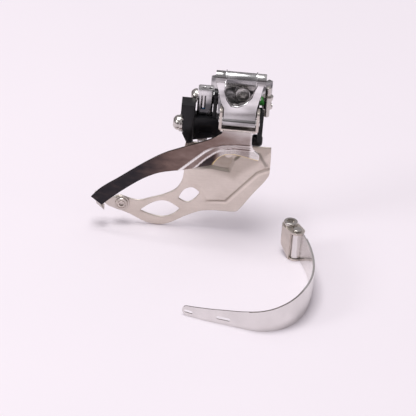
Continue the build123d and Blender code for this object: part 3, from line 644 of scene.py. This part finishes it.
@dataclass
class Cage:
    """The two pressed plates and what joins them."""

    outer_out: float = 46.0
    tail_out: float = 43.6
    sheet: float = 1.2
    inner_out: float = 35.2
    upper_step: float = 0.95
    lower_step: float = 0.85
    upper_line: Plan = ((-33.5, -38.5), (-30.4, -35.0), (-24.0, -28.6), (-17.2, -21.9), (-12.5, -18.8),
                        (-7.6, -17.1), (-0.3, -16.2), (7.3, -16.0), (12.0, -16.0))
    lower_line: Plan = ((-26.5, -38.0), (-22.2, -33.4), (-16.8, -27.2), (-12.1, -23.1), (-9.0, -21.2),
                        (-5.0, -20.0), (-1.0, -19.3), (6.9, -19.4), (12.0, -19.4))
    bulge: Plan = ((-25.0, -37.0), (-14.0, -36.8), (-2.6, -38.4), (-0.4, -31.4), (3.0, -27.6),
                   (13.0, -27.0), (17.6, -34.6), (12.2, -37.8), (-0.4, -53.3), (-3.6, -57.3),
                   (-14.3, -58.4), (-18.0, -50.5), (-24.5, -47.0))
    bulge_height: float = 1.25
    step_line: Plan = ((-15.0, -58.9), (-3.4, -57.9), (12.4, -39.0), (19.0, -35.8))
    shade_line: Plan = ((-30.0, -38.0), (-20.0, -37.0), (-10.0, -39.5), (0.0, -42.5), (4.0, -38.0),
                        (10.4, -33.5), (16.0, -28.0))
    cut_edge: Plan = ((-12.6, -31.2), (-9.2, -26.6), (-5.6, -24.3), (-0.9, -23.8), (12.6, -26.4))
    pocket: Plan = ((-12.0, -36.6), (-2.6, -38.2), (-0.6, -31.2), (-4.0, -26.5), (-11.0, -27.0))
    tail_boss: tuple[float, float] = (-60.2, -64.4)
    pieces: list[bpy.types.Object] = field(default_factory=list)

    def __post_init__(self) -> None:
        """Turn the lines into vectors once."""
        self._upper = [Vector(p) for p in self.upper_line]
        self._lower = [Vector(p) for p in self.lower_line]
        self._bulge = [Vector(p) for p in self.bulge]

    def outer_face(self, x: float, up: float) -> float:
        """How far outboard the outer plate's face lies: two steps down across the plate."""
        where = Vector((x, up))
        lean = smooth(-x, 22.0, 80.0)
        fade = smooth(x, -34.0, -24.0)
        out = self.outer_out - (self.outer_out - self.tail_out) * lean - 0.05
        out -= fade * self.upper_step * smooth(-beside(where, self._upper), -0.1, 1.1)
        return out - fade * self.lower_step * smooth(-beside(where, self._lower), -0.1, 1.0)

    def outer_painted_reflection_and_shade(self, x: float, up: float) -> float:
        """Painted reflection and shade on the polish: a painted dark reflection at the tail, painted
        highlights along the ribs and over the front, painted shadow lines beside the ribs.
        """
        where = Vector((x, up))
        first, second = beside(where, self._upper), beside(where, self._lower)
        front = smooth(x, -14.0, -8.0)
        above = 0.03 + 0.21 * smooth(x, -58, -24) + 0.16 * smooth(x, -14, 4) + 0.14 * smooth(up, -13, -8.5)
        between = 0.30 + 0.22 * front
        below = 0.07 + 0.55 * smooth(x, -12.5, -7.5) - 0.15 * smooth(x, -2, 4)
        painted_reflection_and_shade = above + (between - above) * smooth(-first, -0.1, 0.2)
        painted_reflection_and_shade += (below - painted_reflection_and_shade) * smooth(-second, -0.1, 0.2)
        for gap, centre, half, start in ((first, -0.75, 1.0, -15.0), (second, -0.45, 0.7, -9.0)):
            # painted highlight along each rib
            painted_highlight_stripe = ((1 - smooth(abs(gap - centre), half * 0.5, half))
                      * (1 - smooth(x, start - 2, start + 5)))
            painted_reflection_and_shade += (0.98 - painted_reflection_and_shade) * painted_highlight_stripe
            # painted shadow line beside each rib
            line = (1 - smooth(abs(gap + 0.35), 0.2, 0.5)) * smooth(x, start, start + 6)
            painted_reflection_and_shade += (0.05 - painted_reflection_and_shade) * line * 0.9
        # painted highlight over the front
        return painted_reflection_and_shade + (0.95 - painted_reflection_and_shade) * smooth(x, 6.4, 8.6)

    def outer_gold(self, x: float, up: float) -> float:
        """Where the cut lower edge shows warm metal."""
        edge = [Vector(p) for p in self.cut_edge]
        return (1 - smooth(gap_to(Vector((x, up)), edge, closed=False), 0.35, 0.75)) * smooth(x, -13, -11.5)

    def inner_face(self, x: float, up: float) -> float:
        """How far outboard the inner plate's face lies: its middle is pressed outboard."""
        where = Vector((x, up))
        gap = gap_to(where, self._bulge)
        depth = gap if inside(where, self._bulge) else -gap
        half = 0.85 + 2.2 * smooth(-x, 10.0, 22.0)
        boss = (where - Vector(self.tail_boss)).length
        lift = 0.35 * (1 - smooth(boss, 3.9, 4.7))
        return self.inner_out + self.bulge_height * smooth(depth, -half, half) + lift

    def inner_painted_shade_and_highlight(self, x: float, up: float) -> float:
        """Painted shade on the inner plate: along its step, in its pocket, round the tail boss and as the
        outer plate's painted shadow, with a painted highlight beside the step.
        """
        where = Vector((x, up))
        step = beside(where, [Vector(p) for p in self.step_line])
        # painted shade along the step
        painted_shade_and_highlight = 0.30 + 0.42 * (1 - smooth(abs(step - 0.3), 0.4, 1.1)) * smooth(x, -15.5, -11)
        # painted highlight just beside the step
        painted_shade_and_highlight -= 0.22 * (1 - smooth(abs(step + 1.4), 0.2, 1.0)) * smooth(x, -15, -8)
        # painted shadow of the outer plate
        under = beside(where, [Vector(p) for p in self.shade_line])
        painted_shade_and_highlight += 0.34 * smooth(under, -2.5, 1.5)
        # painted shade in the pocket
        pocket = [Vector(p) for p in self.pocket]
        if inside(where, pocket):
            painted_shade_and_highlight += 0.25 * smooth(gap_to(where, pocket), 0.0, 0.8)
        # painted shade in a ring round the tail boss
        ring = (where - Vector(self.tail_boss)).length
        return painted_shade_and_highlight + 0.45 * (1 - smooth(abs(ring - 4.1), 0.15, 0.45))

    def tail_fastener(self, finishes: Finishes) -> None:
        """Turn the tail screw's flanged head, with its ring groove and its socket."""
        out = self.inner_out + self.sheet
        profile = ((0.0, 0.2), (1.15, 0.2), (1.3, 1.15), (1.9, 1.2), (2.1, 0.75), (2.5, 0.7), (2.7, 1.05),
                   (3.2, 1.0), (3.5, 0.6), (3.5, 0.0))
        x, up = self.tail_boss
        bm = bmesh.new()
        around = 48
        rings = []
        for radius, height in profile:
            if radius == 0.0:
                rings.append([bm.verts.new(at(x, out + height, up))])
                continue
            rings.append([bm.verts.new(at(x + radius * math.cos(turn), out + height,
                                          up + radius * math.sin(turn)))
                          for turn in (2 * math.pi * step / around for step in range(around))])
        for near, far in zip(rings, rings[1:]):
            for step in range(around):
                after = (step + 1) % around
                if len(near) == 1:
                    bm.faces.new((near[0], far[step], far[after]))
                else:
                    bm.faces.new((near[step], far[step], far[after], near[after]))
        bm.faces.new(rings[-1])
        bmesh.ops.recalc_face_normals(bm, faces=bm.faces)
        head = new_piece("tail_screw_head", bm, finishes.nickel, 40)
        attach(head, "cage")
        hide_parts("tail_screw")
        lug = [(x + 4.5 * math.cos(math.radians(turn)), up + 4.5 * math.sin(math.radians(turn)))
               for turn in range(-105, 136, 15)]
        lug += [(-70.5, -59.4), (-75.4, -58.4), (-73.6, -62.6), (-67.0, -66.8)]
        for name, plan, near, far, finish in (
                ("tail_lug", lug, self.inner_out + 0.05, self.inner_out + self.sheet, finishes.nickel),
                ("tail_bridge", [(-75.4, -58.4), (-71.4, -62.4), (-69.2, -66.4), (-73.6, -62.6)],
                 self.inner_out + self.sheet - 0.05, self.tail_out - self.sheet, finishes.bolt)):
            piece = prism(name, plan, near, far, finish)
            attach(piece, "cage")
            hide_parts("outer_cage_plate")
            self.pieces.append(piece)

    def build(self, finishes: Finishes) -> None:
        """Make both plates."""
        self.tail_fastener(finishes)
        outer = PressedSheet("outer_plate_sheet", Outline([
            (-8.4, -7.9, C), (-8.5, -9.6, S), (-11.5, -12.4, S), (-17.4, -15.7, S), (-28.1, -20.4, S),
            (-38.9, -25.6, S), (-49.5, -33.2, S), (-62.2, -43.8, S), (-72.0, -51.9, S),
            (-77.0, -58.0, C), (-70.8, -62.4, C), (-63.7, -55.3, S), (-56.3, -48.6, S),
            (-48.8, -42.7, S), (-41.1, -38.4, S), (-33.3, -36.1, S), (-27.1, -35.0, S),
            (-12.2, -31.3, C), (-9.2, -26.6, S), (-5.6, -24.3, S), (-0.9, -23.8, S), (12.4, -26.4, C),
            (12.4, -22.6, S), (9.6, -19.8, S), (8.0, -16.0, S), (8.0, -7.9, C)]), [],
            self.outer_face, {"painted_reflection_and_shade": self.outer_painted_reflection_and_shade, "gold": self.outer_gold}, 1.1, 0.28, 0.55)
        plate = outer.build(finishes.painted_reflection_chrome)
        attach(plate, "cage")
        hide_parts("outer_cage_plate")
        self.pieces.append(plate)
        inner = PressedSheet("inner_plate_sheet", Outline([
            (18.9, -22.4, C), (19.3, -36.0, S), (18.7, -40.9, S), (11.1, -52.3, S), (3.9, -63.4, S),
            (2.0, -64.4, S), (-4.0, -64.6, S), (-10.0, -64.7, S), (-16.8, -65.8, S), (-25.1, -69.9, S),
            (-33.4, -75.0, S), (-39.1, -76.5, S), (-46.1, -75.7, S), (-55.1, -71.5, S),
            (-61.0, -69.2, S), (-64.8, -66.6, S), (-64.6, -61.8, S), (-61.4, -60.0, S),
            (-55.0, -61.7, S), (-50.5, -62.0, S), (-44.0, -59.7, S), (-37.0, -56.9, S),
            (-31.0, -52.8, S), (-28.2, -47.4, S), (-27.5, -42.0, S), (-28.3, -28.0, S),
            (-27.7, -22.9, C)]), [
            Outline([(-49.7, -68.3, C), (-38.3, -61.2, S), (-28.2, -65.4, C), (-32.0, -69.2, S),
                     (-37.5, -71.2, S), (-44.0, -70.4, S)]),
            Outline([(-29.2, -58.6, C), (-26.6, -53.4, S), (-22.3, -51.4, S), (-18.0, -54.2, C),
                     (-20.4, -58.0, S), (-24.2, -60.6, S)])],
            self.inner_face, {"painted_shade_and_highlight": self.inner_painted_shade_and_highlight}, 1.1, 0.4, 0.6)
        plate = inner.build(finishes.pressed)
        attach(plate, "cage")
        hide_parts("inner_cage_plate")
        self.pieces.append(plate)
        LOG.info("cage plates: %s", [len(p.data.polygons) for p in self.pieces])


# ---- studio --------------------------------------------------------------------------------


@dataclass
class Studio:
    """Pale floor, soft lights and the camera."""

    floor_up: float = -76.8
    aim: tuple[float, float, float] = (-12.6, 70.0, -43.3)
    distance: float = 2.2
    elevation: float = 30.0
    roll: float = 5.0
    frame_width: float = 0.2246
    sky_strength: float = 0.505
    overhead: tuple[float, float, float] = (-0.30, -0.10, 2.1)
    overhead_size: float = 1.1
    overhead_power: float = 29.0
    left_card: tuple[float, float, float] = (-1.6, -0.9, 0.9)
    left_card_size: float = 0.6
    left_card_power: float = 7.0

    def floor(self) -> None:
        """Lay the floor."""
        bm = bmesh.new()
        bmesh.ops.create_grid(bm, x_segments=4, y_segments=4, size=4.0)
        bmesh.ops.translate(bm, verts=bm.verts, vec=Vector((0, 0, self.floor_up * MM)))
        tree = Tree("pale_floor")
        mottle = tree.noise(6, 2.0)
        tree.set(Base_Color=tree.blend(mottle.ramp(0.2, 0.8), (0.86, 0.80, 0.855), (0.88, 0.815, 0.87)),
                 Roughness=0.9, Specular_IOR_Level=0.1)
        new_piece("studio_floor", bm, tree.material)

    def lamp(self, name: str, place: Vector, size: float, power: float,
             colour: tuple[float, float, float] = (1, 1, 1)) -> None:
        """Hang one square area light that faces the object."""
        light = bpy.data.lights.new(name, "AREA")
        light.shape = "SQUARE"
        light.size = size
        light.energy = power
        light.color = colour
        holder = bpy.data.objects.new(name, light)
        holder.location = place
        way = at(*self.aim) - place
        holder.rotation_euler = way.to_track_quat("-Z", "Y").to_euler()
        bpy.context.scene.collection.objects.link(holder)

    def sky(self) -> None:
        """Even white surroundings, darker towards the horizon so that metal has something to mirror."""
        world = bpy.data.worlds.new("studio_sky")
        world.use_nodes = True
        nodes, links = world.node_tree.nodes, world.node_tree.links
        coords = nodes.new("ShaderNodeTexCoord")
        split = nodes.new("ShaderNodeSeparateXYZ")
        ramp = nodes.new("ShaderNodeValToRGB")
        links.new(coords.outputs["Generated"], split.inputs[0])
        links.new(split.outputs["Z"], ramp.inputs["Fac"])
        links.new(ramp.outputs["Color"], nodes["Background"].inputs["Color"])
        stops = ((0.0, (0.20, 0.18, 0.19)), (0.12, (0.16, 0.14, 0.145)), (0.32, (0.62, 0.58, 0.60)),
                 (0.6, (1.0, 0.96, 1.0)), (1.0, (1.0, 0.97, 1.0)))
        ramp.color_ramp.elements.remove(ramp.color_ramp.elements[1])
        for index, (spot, colour) in enumerate(stops):
            stop = ramp.color_ramp.elements[0] if index == 0 else ramp.color_ramp.elements.new(spot)
            stop.position = spot
            stop.color = (*colour, 1.0)
        nodes["Background"].inputs["Strength"].default_value = self.sky_strength
        bpy.context.scene.world = world

    def camera(self) -> None:
        """Set the camera at the picture's angle."""
        lens = bpy.data.cameras.new("view")
        lens.sensor_width = 36.0
        lens.lens = 36.0 * self.distance / self.frame_width
        lens.clip_end = 20.0
        holder = bpy.data.objects.new("view", lens)
        tilt = math.radians(self.elevation)
        holder.location = at(*self.aim) + Vector((0, -math.cos(tilt), math.sin(tilt))) * self.distance
        roll = Euler((0, 0, math.radians(self.roll))).to_matrix()
        turn = Euler((math.pi / 2 - tilt, 0, 0)).to_matrix() @ roll
        holder.rotation_euler = turn.to_euler()
        bpy.context.scene.collection.objects.link(holder)
        bpy.context.scene.camera = holder

    def build(self) -> None:
        """Put up the floor, sky, lights and camera."""
        self.camera()
        self.floor()
        self.sky()
        self.lamp("overhead", Vector(self.overhead), self.overhead_size, self.overhead_power)
        self.lamp("left_card", Vector(self.left_card), self.left_card_size, self.left_card_power)
        bpy.context.scene.view_settings.view_transform = "Standard"


def dress_nodes(finishes: Finishes) -> None:
    """Give every CAD piece its finish, and break the edges of the forged and pressed ones."""
    plain = {
        "upper_pivot_pin": finishes.pin, "pivot_washers": finishes.pin,
        "inner_pivot_pin": finishes.pin, "lower_pivot_pin": finishes.pin,
        "cage_pivot_pin": finishes.pin, "low_limit_screw": finishes.limit,
        "high_limit_screw": finishes.limit, "clamp_bolt": finishes.clamp_bolt,
        "mount_screw": finishes.socket, "anchor_bar": finishes.bolt,
        "cable_anchor_bolt": finishes.bolt, "cable_anchor_washer": finishes.bolt,
        "tail_screw": finishes.nickel, "tail_nut": finishes.bolt, "cage_rivets": finishes.nickel,
        "return_spring": finishes.pin, "strap_band": finishes.strip, "strap_doubler": finishes.strip,
        "strap_hook": finishes.nickel, "hook_barrel": finishes.bolt, "strap_screw": finishes.bolt,
        "strap_hinge_pin": finishes.bolt,
    }
    for name, material in plain.items():
        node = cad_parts[name]
        node.data.materials.clear()
        node.data.materials.append(material)
        for polygon in node.data.polygons:
            polygon.material_index = 0
    DressedCast("housing", finishes.cast, "housing", 0.4)
    DressedCast("clamp_saddle", finishes.cast, "housing", 0.3)
    DressedCast("outer_link", finishes.alloy, "outer_link", 0.35)
    DressedCast("cable_arm", finishes.black, "cable_arm", 0.3)
    DressedCast("cage_bracket", finishes.nickel, "cage", 0.3)


def main() -> None:
    """Build the scene in order."""
    logging.basicConfig(level=logging.INFO, format="%(name)s: %(message)s")
    Studio().build()
    finishes = Finishes()
    dress_nodes(finishes)
    Cage().build(finishes)


if __name__ == "__main__":
    main()
